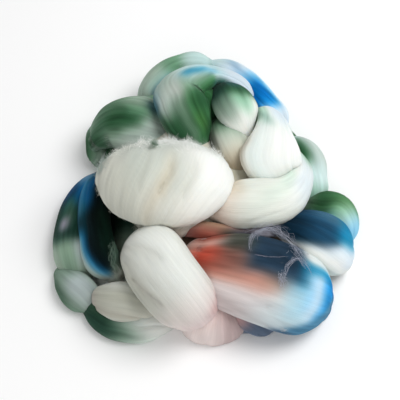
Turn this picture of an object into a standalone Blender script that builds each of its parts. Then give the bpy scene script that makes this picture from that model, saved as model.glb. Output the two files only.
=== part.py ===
"""Wool roving: one long thick strand of combed, hand-dyed wool, looped through itself and heaped in a nest.

The strand shows as plump runs that arch over the heap and tuck under one another. Each run is a tapered
sweep along a smooth line through its stations. The runs and the heart of the heap are joined into one
closed solid, and its foot is pressed flat. +Z is up, +Y is the back, and the origin is under the middle.
"""

import math
from collections import namedtuple

import bmesh
import bpy
from mathutils import Matrix, Vector

MM = 0.001

# The stations are measured from a point of their own, and this one of theirs is the origin (mm).
ORIGIN = Vector((4.0, 18.6, 9.0))

# A run's flat side looks away from this point, deep under the middle of the heap (mm).
FACING_CENTRE = Vector((0.0, 0.0, -60.0))

# The sweep of a run (mm). The side that lies on the heap is flatter, by this share.
RING_SPACING = 9.5
RING_SIDES = 14
UNDER_SHARE = 0.6
STEPS_PER_STATION = 20

# The round end of a run: its rings, and its length as a share of the last half width.
CAP_RINGS = 3
CAP_LENGTH_SHARE = 0.8

# The finished mesh: nearer points are merged (m), and the block that presses the foot flat (mm).
MERGE_DISTANCE = 0.00008
BLOCK_HALF = 160.0
BLOCK_DEPTH = 60.0

# Station: the centre of the strand and half its width there, all in mm.
# Run: flatness is thickness over width, and lean rolls the run about its own line (degrees).
Station = namedtuple("Station", "x y z half_width")
Run = namedtuple("Run", "name flatness lean stations")

RUNS = [
    # The runs on top.
    Run("crown", 0.52, -12, [
        (-22, 20, 46, 35), (-22, 15, 56, 44), (-22, 8, 62, 47), (-21, 0, 65, 46), (-20, -8, 63, 43),
        (-18, -16, 56, 35), (-16, -20, 47, 24),
    ]),
    Run("shelf", 0.8, 0, [
        (63, 40, 42, 5), (67, 24, 46, 9), (64, 9, 50, 11), (54, -3, 54, 14), (40, -8, 57, 16),
        (26, -9, 56, 16), (13, -8, 50, 12), (3, -7, 42, 7),
    ]),
    Run("shoulder", 0.7, 0, [
        (48, 71, 42, 7), (49, 62, 52, 12), (50, 48, 57, 14), (50, 34, 60, 18), (52, 26, 58, 21),
        (51, 20, 52, 19), (49, 16, 44, 12),
    ]),
    Run("inner_arch", 0.7, 0, [
        (-1, 41, 46, 13), (-4, 46, 52, 16), (-8, 53, 58, 18), (-10, 62, 62, 19), (-10, 74, 62, 19),
        (-4, 85, 60, 17), (5, 92, 56, 13), (15, 94, 52, 11), (25, 91, 49, 11), (32, 86, 44, 11),
        (36, 80, 37, 8),
    ]),
    Run("curl_upper", 0.8, 0, [
        (13, 87, 46, 6), (18, 76, 56, 11), (23, 67, 58, 13), (28, 59, 57, 12), (32, 51, 54, 8),
        (34, 48, 46, 4),
    ]),
    Run("curl_lower", 0.8, 0, [
        (10, 62, 46, 6), (14, 48, 54, 9), (19, 39, 56, 11), (23, 32, 54, 9), (27, 28, 47, 4),
    ]),
    # The runs round the back.
    Run("outer_arch", 0.8, 0, [
        (-33, 85, 22, 7), (-35, 94, 28, 13), (-30, 102, 33, 15), (-22, 109, 36, 15), (-13, 113, 38, 14),
        (-3, 115, 40, 13), (6, 115, 38, 8),
    ]),
    Run("arch_right", 0.8, 0, [
        (4, 117, 34, 7), (18, 111, 38, 12), (29, 103, 39, 14), (38, 93, 39, 15), (47, 83, 37, 14),
        (53, 74, 33, 13), (57, 66, 28, 7),
    ]),
    Run("green_left", 0.75, 0, [
        (-70, 59, 26, 9), (-65, 61, 31, 15), (-56, 64, 34, 22), (-46, 66, 38, 23), (-36, 66, 39, 17),
        (-28, 65, 36, 9),
    ]),
    Run("green_tip", 0.9, 0, [
        (-74, 75, 18, 5), (-74, 68, 21, 8), (-73, 60, 21, 9), (-72, 53, 18, 9), (-69, 50, 12, 6),
    ]),
    Run("right_back", 0.9, 0, [
        (63, 59, 22, 8), (69, 48, 27, 14), (74, 38, 28, 15), (76, 27, 28, 13), (77, 18, 27, 12),
        (76, 11, 22, 8),
    ]),
    # The runs at the left.
    Run("blue_inner", 0.75, 0, [
        (-66, 29, 26, 7), (-68, 17, 34, 12), (-70, 5, 36, 13), (-69, -9, 36, 13), (-66, -22, 36, 12),
        (-63, -32, 33, 12), (-59, -39, 30, 11), (-55, -44, 26, 7),
    ]),
    Run("blue_outer", 0.9, 0, [
        (-71, 30, 12, 7), (-75, 19, 16, 13), (-80, 7, 17, 17), (-82, -6, 18, 18), (-83, -20, 18, 18),
        (-82, -31, 17, 16), (-80, -38, 13, 11),
    ]),
    Run("heel_left", 0.9, 0, [
        (-92, -39, 12, 7), (-88, -44, 14, 11), (-81, -51, 15, 14), (-74, -57, 15, 13), (-69, -61, 12, 8),
    ]),
    Run("tuck_left", 0.8, 0, [
        (-66, -59, 18, 6), (-62, -63, 26, 10), (-54, -66, 30, 13), (-45, -68, 32, 13), (-36, -70, 30, 10),
        (-31, -71, 24, 5),
    ]),
    # The runs at the front.
    Run("diagonal", 0.7, 0, [
        (-39, -20, 40, 12), (-35, -30, 50, 18), (-28, -43, 54, 22), (-19, -61, 54, 22), (-10, -73, 48, 21),
        (-4, -74, 36, 18),
    ]),
    Run("base_left", 0.9, 0, [
        (-71, -62, 10, 5), (-65, -68, 14, 9), (-56, -73, 15, 13), (-46, -75, 16, 14), (-37, -75, 15, 13),
        (-29, -74, 14, 9), (-23, -72, 10, 4),
    ]),
    Run("base_front", 0.7, 0, [
        (11, -69, 30, 3), (9, -74, 32, 8), (8, -76, 27, 13), (7, -77, 18, 17), (7, -74, 6, 18),
    ]),
    Run("front_tuck", 0.8, 0, [
        (13, -69, 30, 3), (18, -72, 29, 7), (24, -75, 24, 10), (28, -77, 16, 9), (30, -75, 6, 6),
    ]),
    # The runs at the right.
    Run("fan", 0.55, 0, [
        (0, -47, 42, 19), (13, -52, 46, 24), (28, -56, 47, 27), (43, -58, 45, 28), (55, -63, 40, 30),
        (61, -69, 32, 28), (61, -75, 23, 21), (58, -78, 15, 14),
    ]),
    Run("fan_ridge", 0.9, 0, [
        (-10, -23, 44, 4), (0, -25, 50, 6), (14, -27, 50, 6), (29, -26, 47, 5), (40, -24, 44, 3),
        (49, -21, 36, 2),
    ]),
    Run("right_hip", 0.8, 0, [
        (45, -13, 32, 3), (54, -19, 40, 7), (65, -24, 42, 13), (75, -27, 40, 18), (85, -29, 32, 20),
        (92, -27, 22, 16), (96, -22, 12, 11),
    ]),
    Run("right_knee", 0.9, 0, [
        (72, 4, 22, 7), (80, 2, 26, 14), (89, 0, 27, 16), (94, -4, 25, 15), (97, -9, 20, 12),
        (97, -14, 14, 7),
    ]),
    # The low runs that carry the others: round the back, then under the front.
    Run("back_a", 0.9, 0, [(-60, 30, 10, 10), (-56, 46, 16, 15), (-48, 60, 22, 17), (-32, 70, 28, 12)]),
    Run("back_b", 0.9, 0, [(-58, 54, 10, 11), (-48, 74, 18, 16), (-24, 90, 26, 18), (0, 94, 32, 12)]),
    Run("back_c", 0.9, 0, [(-26, 92, 8, 11), (-2, 100, 16, 17), (24, 92, 26, 17), (42, 76, 34, 12)]),
    Run("back_d", 0.9, 0, [(26, 90, 8, 10), (44, 74, 16, 15), (58, 54, 24, 15), (66, 34, 30, 11)]),
    Run("back_e", 0.9, 0, [(54, 52, 8, 10), (68, 34, 14, 14), (78, 10, 18, 14), (82, -8, 20, 9)]),
    Run("under_fan", 0.9, 0, [(2, -56, 12, 14), (28, -62, 14, 19), (54, -56, 14, 20), (72, -40, 14, 14)]),
    Run("under_front", 0.9, 0, [(-62, -44, 10, 9), (-44, -58, 12, 15), (-16, -62, 12, 15), (12, -60, 10, 12)]),
]

# Mound: a part of the heap's solid heart (centre and half sizes, mm).
Mound = namedtuple("Mound", "name x y z half_x half_y half_z")

MOUNDS = [
    Mound("heart_low", 2, 8, 8, 72, 80, 34),
    Mound("heart_high", -6, 20, 38, 50, 44, 20),
]
MOUND_MERIDIANS = 18
MOUND_RINGS = 9


def through(stations, at):
    """The point and half width of the Catmull-Rom line at `at`, counted in stations from the first."""
    last = len(stations) - 1
    first = min(int(at), last - 1)
    t = at - first
    before, a, b, after = (
        Vector(stations[min(max(first + k, 0), last)]) for k in (-1, 0, 1, 2)
    )
    return 0.5 * (
        2 * a
        + (b - before) * t
        + (2 * before - 5 * a + 4 * b - after) * t**2
        + (3 * a - before - 3 * b + after) * t**3
    )


def even_rings(stations, spacing):
    """Rings about `spacing` apart along the stations' line: (centre, half width)."""
    steps = STEPS_PER_STATION * (len(stations) - 1)
    fine = [through(stations, k / STEPS_PER_STATION) for k in range(steps + 1)]
    along = [0.0]
    for a, b in zip(fine, fine[1:]):
        along.append(along[-1] + (b.xyz - a.xyz).length)
    count = max(4, round(along[-1] / spacing))
    rings, k = [], 0
    for ring in range(count + 1):
        wanted = along[-1] * ring / count
        while k < steps - 1 and along[k + 1] < wanted:
            k += 1
        share = (wanted - along[k]) / (along[k + 1] - along[k])
        mixed = fine[k].lerp(fine[k + 1], share)
        rings.append((mixed.xyz, mixed.w))
    return rings


def cap(end, inner):
    """The rings of a round end beyond the ring `end`, the last one a point."""
    centre, width = end
    outward = (centre - inner[0]).normalized()
    rings = []
    for k in range(1, CAP_RINGS + 1):
        turn = math.radians(90 * k / CAP_RINGS)
        reach = width * CAP_LENGTH_SHARE * math.sin(turn)
        rings.append((centre + outward * reach, width * math.cos(turn)))
    return rings


def run_loops(run):
    """The run's loops of points, and its two tips, in mm."""
    rings = even_rings(run.stations, RING_SPACING)
    rings = cap(rings[0], rings[1])[::-1] + rings + cap(rings[-1], rings[-2])
    loops = []
    for k in range(1, len(rings) - 1):
        centre, width = rings[k]
        forward = (rings[k + 1][0] - rings[k - 1][0]).normalized()
        across = forward.cross(centre - FACING_CENTRE).normalized()
        across = Matrix.Rotation(math.radians(run.lean), 3, forward) @ across
        outward = across.cross(forward)
        loop = []
        for side in range(RING_SIDES):
            turn = 2 * math.pi * side / RING_SIDES
            thick = run.flatness * math.sin(turn) * (1.0 if side < RING_SIDES / 2 else UNDER_SHARE)
            loop.append(centre + (across * math.cos(turn) + outward * thick) * width)
        loops.append(loop)
    return loops, (rings[0][0], rings[-1][0])


def swept(run):
    """The run as a closed mesh."""
    loops, tips = run_loops(run)
    mesh = bmesh.new()
    rows = [[mesh.verts.new((p - ORIGIN) * MM) for p in loop] for loop in loops]
    for a, b in zip(rows, rows[1:]):
        for side in range(RING_SIDES):
            after = (side + 1) % RING_SIDES
            mesh.faces.new((a[side], a[after], b[after], b[side]))
    for row, tip in zip((rows[0], rows[-1]), tips):
        point = mesh.verts.new((tip - ORIGIN) * MM)
        for side in range(RING_SIDES):
            mesh.faces.new((row[side], row[(side + 1) % RING_SIDES], point))
    return closed(mesh, run.name)


def mounded(mound):
    """One part of the heart as a closed mesh."""
    mesh = bmesh.new()
    bmesh.ops.create_uvsphere(mesh, u_segments=MOUND_MERIDIANS, v_segments=MOUND_RINGS, radius=1.0)
    centre = Vector((mound.x, mound.y, mound.z)) - ORIGIN
    halves = Matrix.Diagonal((mound.half_x, mound.half_y, mound.half_z))
    for vert in mesh.verts:
        vert.co = (centre + halves @ vert.co) * MM
    return closed(mesh, mound.name)


def closed(mesh, name):
    """The bmesh as mesh data, in triangles that face outward."""
    bmesh.ops.triangulate(mesh, faces=mesh.faces[:])
    bmesh.ops.recalc_face_normals(mesh, faces=mesh.faces[:])
    data = bpy.data.meshes.new(name)
    mesh.to_mesh(data)
    mesh.free()
    return data


def block():
    """The block under the heap."""
    mesh = bmesh.new()
    bmesh.ops.create_cube(mesh, size=1.0)
    for vert in mesh.verts:
        half = 2 * BLOCK_HALF
        vert.co = Vector((vert.co.x * half, vert.co.y * half, (vert.co.z - 0.5) * BLOCK_DEPTH)) * MM
    return closed(mesh, "block")


def joined(parts, foot):
    """The union of the parts, less the foot block, as mesh data."""
    objects = [bpy.data.objects.new(data.name, data) for data in parts + [foot]]
    for obj in objects:
        bpy.context.scene.collection.objects.link(obj)
    others = bpy.data.collections.new("others")
    for obj in objects[1:-1]:
        others.objects.link(obj)
    union = objects[0].modifiers.new("union", "BOOLEAN")
    union.operation = "UNION"
    union.solver = "EXACT"
    union.use_self = True
    union.operand_type = "COLLECTION"
    union.collection = others
    cut = objects[0].modifiers.new("cut", "BOOLEAN")
    cut.operation = "DIFFERENCE"
    cut.solver = "EXACT"
    cut.object = objects[-1]
    bpy.context.view_layer.update()
    graph = bpy.context.evaluated_depsgraph_get()
    data = bpy.data.meshes.new_from_object(objects[0].evaluated_get(graph))
    for obj in objects:
        bpy.data.objects.remove(obj)
    bpy.data.collections.remove(others)
    return data


def islands(mesh):
    """The faces of each separate shell."""
    left = set(mesh.faces)
    shells = []
    while left:
        shell, edge = set(), [left.pop()]
        while edge:
            face = edge.pop()
            shell.add(face)
            for side in face.edges:
                for other in side.link_faces:
                    if other in left:
                        left.remove(other)
                        edge.append(other)
        shells.append(shell)
    return shells


def neighbours(vert):
    return {edge.other_vert(vert) for edge in vert.link_edges}


def merged_one(mesh):
    """Merges each short edge whose ends share two neighbours only, so that the shell stays closed."""
    short = [edge for edge in mesh.edges if edge.calc_length() < MERGE_DISTANCE]
    for edge in short:
        a, b = edge.verts
        if len(neighbours(a) & neighbours(b)) == 2:
            bmesh.ops.pointmerge(mesh, verts=[a, b], merge_co=a.co)
            return True
    return False


def cleaned(data, name):
    """The outer shell of the joined mesh alone, without slivers, in triangles."""
    mesh = bmesh.new()
    mesh.from_mesh(data)
    shells = sorted(islands(mesh), key=len)
    inner = [face for shell in shells[:-1] for face in shell]
    bmesh.ops.delete(mesh, geom=inner, context="FACES")
    bmesh.ops.triangulate(mesh, faces=mesh.faces[:])
    while merged_one(mesh):
        pass
    out = bpy.data.meshes.new(name)
    mesh.to_mesh(out)
    mesh.free()
    return out


def wool():
    """Plain undyed wool."""
    material = bpy.data.materials.new("wool")
    material.use_nodes = True
    shader = material.node_tree.nodes["Principled BSDF"]
    shader.inputs["Base Color"].default_value = (0.84, 0.82, 0.76, 1.0)
    shader.inputs["Roughness"].default_value = 0.9
    return material


def main():
    for old in list(bpy.data.objects):
        bpy.data.objects.remove(old)
    parts = [mounded(mound) for mound in MOUNDS] + [swept(run) for run in RUNS]
    roving = bpy.data.objects.new("roving", cleaned(joined(parts, block()), "roving"))
    bpy.context.scene.collection.objects.link(roving)
    roving.data.materials.append(wool())


main()
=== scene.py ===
"""Wool roving: the look of the heap of combed, hand-dyed wool.

Every run of the strand is a fine mesh with the folds and combed ridges of its fibres. The dye lies on
it in charted patches that feather out along the fibres; some patches are painted shade in its creases,
hollows and shaded sides, and a few are painted light and sheen. Loose fibres lie in it, stand off it at
the torn edges and float over it in wisps.
"""

import math
from collections import namedtuple

import bpy
import numpy as np
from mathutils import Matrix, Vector


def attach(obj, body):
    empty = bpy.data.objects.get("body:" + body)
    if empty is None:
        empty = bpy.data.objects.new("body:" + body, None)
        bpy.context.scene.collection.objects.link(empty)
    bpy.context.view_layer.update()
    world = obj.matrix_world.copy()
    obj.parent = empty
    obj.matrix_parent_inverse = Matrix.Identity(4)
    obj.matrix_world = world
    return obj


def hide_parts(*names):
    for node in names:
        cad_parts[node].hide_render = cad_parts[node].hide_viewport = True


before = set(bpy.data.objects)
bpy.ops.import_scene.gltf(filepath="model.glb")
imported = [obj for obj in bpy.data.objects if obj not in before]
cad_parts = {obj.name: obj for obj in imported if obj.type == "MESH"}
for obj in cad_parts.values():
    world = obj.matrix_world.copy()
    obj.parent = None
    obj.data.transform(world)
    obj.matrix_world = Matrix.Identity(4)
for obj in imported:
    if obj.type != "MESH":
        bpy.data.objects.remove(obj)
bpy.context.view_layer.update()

MM = 0.001

# ---- The heap, in mm ----

# The runs are those of the part's source, a few of them moved or swelled by some millimetres. They are
# measured from a point of their own, and this one of theirs is the frame's origin.
ORIGIN = np.array((4.0, 18.6, 9.0))

# A run's flat side looks away from this point, deep under the middle of the heap. The side of a run
# that lies on the heap is flatter, by this share.
FACING_CENTRE = np.array((0.0, 0.0, -60.0))
UNDER_SHARE = 0.6

# What hardly shows is meshed more coarsely and has no loose fibres: names that start like this.
HIDDEN_RUNS = ("back_", "under_", "heart_")

# Run: a station is x, y, z and half width, flatness is thickness over width, lean rolls the run about
# its own line (degrees), and twist is the turn of its fibres round it from end to end (degrees).
Run = namedtuple("Run", "name stations flatness lean twist", defaults=(0.9, 0, 0))

RUNS = [
    # The runs on top.
    Run("crown", [
        (-24, 19, 46, 36), (-24, 14, 56, 43), (-23, 7, 62, 45), (-22, 0, 65, 45), (-22, -8, 64, 43),
        (-22, -15, 60, 36), (-22, -19, 53, 20),
    ], 0.52, lean=-18, twist=80),
    Run("shelf", [
        (63, 40, 42, 5), (67, 24, 46, 9), (64, 9, 50, 11), (54, -4, 54, 15), (40, -9, 57, 17),
        (26, -10, 56, 17), (13, -8, 50, 12), (3, -7, 42, 7),
    ], 0.8),
    Run("shoulder", [
        (44, 72, 42, 6), (47, 63, 52, 9), (49, 52, 57, 12), (49, 41, 60, 15), (48, 31, 60, 20),
        (46, 24, 55, 23), (45, 19, 46, 16),
    ], 0.7),
    Run("inner_arch", [
        (0, 37, 44, 13), (-4, 45, 51, 16), (-8, 53, 58, 18), (-11, 62, 62, 19), (-13, 74, 62, 19),
        (-4, 85, 60, 17), (5, 92, 56, 13), (15, 94, 52, 11), (25, 91, 49, 11), (32, 86, 44, 11),
        (36, 80, 37, 8),
    ], 0.7),
    Run("curl_upper", [
        (16, 86, 46, 8), (19, 77, 55, 13), (22, 68, 59, 16), (25, 58, 60, 16), (28, 50, 56, 11),
        (30, 45, 48, 5),
    ], 0.8),
    Run("curl_lower", [
        (14, 62, 44, 8), (17, 49, 52, 12), (20, 39, 54, 14), (23, 30, 52, 13), (26, 22, 46, 9),
    ], 0.8),
    # The runs round the back.
    Run("outer_arch", [
        (-33, 85, 22, 7), (-35, 94, 28, 13), (-30, 102, 33, 15), (-22, 109, 36, 15), (-13, 113, 38, 14),
        (-3, 115, 40, 13), (6, 115, 38, 8),
    ], 0.8),
    Run("arch_right", [
        (4, 117, 34, 7), (18, 111, 38, 12), (28, 102, 39, 14), (37, 92, 39, 14), (46, 82, 37, 13),
        (53, 74, 33, 13), (57, 66, 28, 7),
    ], 0.8),
    Run("green_left", [
        (-70, 60, 26, 12), (-65, 62, 31, 20), (-57, 64, 35, 25), (-46, 63, 38, 27), (-36, 60, 40, 24),
        (-27, 56, 40, 17), (-20, 54, 38, 9),
    ], 0.75),
    Run("green_tip", [
        (-74, 75, 18, 5), (-74, 68, 21, 8), (-73, 60, 21, 9), (-72, 53, 18, 9), (-69, 50, 12, 6),
    ]),
    Run("right_back", [
        (63, 59, 22, 8), (69, 48, 27, 14), (74, 38, 28, 15), (76, 27, 28, 13), (77, 18, 27, 12),
        (76, 11, 22, 8),
    ]),
    # The runs at the left.
    Run("blue_inner", [
        (-66, 29, 26, 7), (-68, 17, 34, 12), (-70, 5, 36, 13), (-70, -9, 36, 13), (-68, -22, 36, 13),
        (-66, -32, 33, 14), (-62, -39, 30, 13), (-56, -44, 26, 8),
    ], 0.75),
    Run("blue_outer", [
        (-69, 35, 13, 8), (-74, 22, 17, 15), (-79, 8, 17, 18), (-82, -6, 18, 18), (-83, -20, 18, 18),
        (-82, -31, 17, 16), (-80, -38, 13, 11),
    ]),
    Run("heel_left", [
        (-92, -39, 12, 7), (-88, -44, 14, 11), (-81, -51, 15, 14), (-74, -57, 15, 13), (-69, -61, 12, 8),
    ]),
    Run("tuck_left", [
        (-66, -59, 18, 6), (-62, -63, 26, 10), (-54, -66, 30, 13), (-45, -68, 32, 13), (-36, -70, 30, 10),
        (-31, -71, 24, 5),
    ], 0.8),
    # The runs at the front.
    Run("diagonal", [
        (-38, -24, 31, 11), (-36, -35, 43, 19), (-30, -46, 52, 22), (-21, -61, 54, 22), (-10, -73, 48, 21),
        (-4, -74, 36, 18),
    ], 0.7),
    Run("base_left", [
        (-72, -62, 10, 7), (-66, -67, 14, 11), (-56, -73, 15, 13), (-46, -75, 16, 14), (-37, -76, 15, 13),
        (-28, -75, 14, 10), (-21, -73, 10, 6),
    ]),
    Run("base_front", [
        (12, -68, 30, 4), (11, -71, 32, 10), (10, -74, 27, 17), (9, -75, 18, 21), (8, -73, 6, 21),
    ], 0.7),
    Run("front_tuck", [
        (18, -67, 30, 5), (27, -71, 28, 10), (36, -74, 23, 12), (42, -75, 15, 10), (44, -73, 6, 6),
    ], 0.8),
    # The runs at the right.
    Run("fan", [
        (0, -47, 42, 19), (13, -52, 46, 24), (28, -56, 47, 27), (43, -60, 45, 28), (56, -63, 40, 28),
        (67, -64, 32, 26), (74, -63, 24, 21), (79, -61, 15, 14),
    ], 0.55),
    Run("fan_ridge", [
        (-10, -23, 44, 4), (0, -25, 50, 6), (14, -27, 50, 6), (29, -26, 47, 5), (40, -24, 44, 3),
        (49, -21, 36, 2),
    ]),
    Run("right_hip", [
        (44, -12, 34, 4), (53, -17, 42, 9), (64, -22, 44, 15), (75, -26, 41, 19), (85, -28, 32, 20),
        (91, -27, 22, 16), (94, -21, 12, 11),
    ], 0.8),
    Run("right_knee", [
        (72, 4, 22, 7), (80, 2, 26, 14), (89, 0, 27, 16), (94, -4, 25, 15), (97, -9, 20, 12),
        (97, -14, 14, 7),
    ]),
    # The low runs that carry the others: round the back, then under the front.
    Run("back_a", [(-60, 30, 10, 10), (-56, 46, 16, 15), (-48, 60, 22, 17), (-32, 70, 28, 12)]),
    Run("back_b", [(-58, 54, 10, 11), (-48, 74, 18, 16), (-24, 90, 26, 18), (0, 94, 32, 12)]),
    Run("back_c", [(-26, 92, 8, 11), (-2, 100, 16, 17), (24, 92, 26, 17), (42, 76, 34, 12)]),
    Run("back_d", [(26, 90, 8, 10), (44, 74, 16, 15), (58, 54, 24, 15), (66, 34, 30, 11)]),
    Run("back_e", [(54, 52, 8, 10), (68, 34, 14, 14), (78, 10, 18, 14), (82, -8, 20, 9)]),
    Run("under_fan", [(2, -56, 12, 14), (28, -62, 14, 19), (54, -56, 14, 20), (72, -40, 14, 14)]),
    Run("under_front", [
        (-62, -44, 10, 9), (-44, -58, 12, 15), (-16, -62, 12, 15), (12, -60, 10, 12),
    ]),
    # The inner side of the arch's bend. It comes last, so that the seeds of the others stay as they are.
    Run("arch_fill", [
        (-6, 74, 62, 5), (-1, 74, 64, 8), (4, 73, 61, 9), (7, 69, 55, 9), (8, 64, 48, 7),
    ], 0.7),
]

# Mound: a part of the heap's heart, which shows only in the hollows (its centre and half sizes).
Mound = namedtuple("Mound", "name x y z half_x half_y half_z")

MOUNDS = [
    Mound("heart_low", 2, 8, 8, 72, 80, 34),
    Mound("heart_high", -6, 20, 38, 50, 44, 20),
]

# ---- The dyes and painted shades, as the eye sees them on this wool (red, green, blue out of 255) ----

DYES_AND_PAINTED_SHADING = dict(
    # Undyed wool, and the greys and browns that paint its shade: wool_shade, wool_dim, cream_brown and the
    # brown.
    snow=(241, 243, 239), white=(243, 244, 239), cream=(240, 238, 228), shelf_white=(222, 227, 218),
    wool_light=(226, 229, 224), wool_pale=(224, 227, 218), wool_grey=(202, 204, 196),
    wool_shade=(198, 199, 187), wool_dim=(170, 171, 158), cream_grey=(214, 216, 204),
    cream_warm=(212, 208, 190), cream_brown=(200, 186, 162), shadow_brown=(150, 128, 102),
    fan_white=(216, 216, 214), fan_cool=(190, 208, 214), fan_blue=(172, 214, 230),
    # Pinks and reds.
    white_pink=(228, 213, 209), pink=(226, 203, 202), rose=(200, 152, 150),
    rose_grey=(172, 146, 146), peach_pale=(238, 216, 200), peach=(200, 140, 122),
    coral=(198, 84, 66), rust=(148, 76, 62), rosewood=(178, 126, 112), taupe=(112, 82, 74),
    grey_brown=(138, 126, 114), olive_dark=(60, 64, 56),
    # Lilacs.
    lilac=(180, 170, 188), lilac_mist=(178, 186, 192), lilac_dim=(122, 122, 142),
    lilac_grey=(160, 164, 180),
    # Greens.
    mint_pale=(212, 232, 218), mint=(150, 200, 170), mint_mid=(126, 178, 148),
    mint_grey=(156, 190, 176), shoulder_white=(228, 238, 234), aqua=(188, 216, 214),
    aqua_blue=(178, 212, 216), aqua_pale=(202, 224, 222), mist=(178, 192, 184),
    mist_warm=(182, 188, 182), heel=(150, 165, 156), sage=(150, 171, 154),
    sage_mist=(156, 175, 158), grey_green=(104, 130, 112), moss=(84, 118, 92), fern=(78, 124, 80),
    leaf=(104, 156, 104), leaf_soft=(106, 152, 120), leaf_yellow=(76, 122, 56), green=(50, 102, 60),
    forest=(34, 74, 46), forest_grey=(54, 82, 64), deep_green=(20, 52, 42), ink_green=(10, 34, 24),
    # Blues.
    pale_blue=(208, 224, 236), sky=(136, 204, 242), steel_light=(76, 140, 168),
    steel=(74, 128, 160), steel_sky=(92, 168, 204), rim_blue=(12, 132, 204), azure=(66, 164, 226),
    blue_soft=(64, 150, 200), blue=(0, 106, 182), blue_mid=(6, 104, 164), teal_blue=(0, 68, 108),
    navy_blue=(6, 60, 98), slate=(112, 150, 180), slate_dark=(74, 96, 120), hip_blue=(30, 72, 100),
    navy=(8, 36, 54), navy_fan=(34, 54, 72), teal_pale=(110, 152, 168), teal=(40, 86, 100),
    teal_dark=(6, 58, 70), teal_green=(48, 100, 90), sea_blue=(16, 124, 166), ink=(2, 14, 16),
)

# Mark: a patch of dye on a run (some are painted shade, and a few painted light). It lies from
# `start` to `end` along the run (mm from its first station) and from `low` to `high` round it (degrees:
# 0 and 180 are its two edges, 90 the crest that looks outward, -90 and 270 the seam underneath). It
# fades out over `fade` mm and `feather` degrees, and `slope` turns it round the run as it goes along
# (degrees per mm).
Mark = namedtuple("Mark", "dye start end low high fade feather amount slope", defaults=(10, 18, 1.0, 0.0))
UNDER = -90
ROUND = 270
ALL = (UNDER, ROUND)
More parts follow.
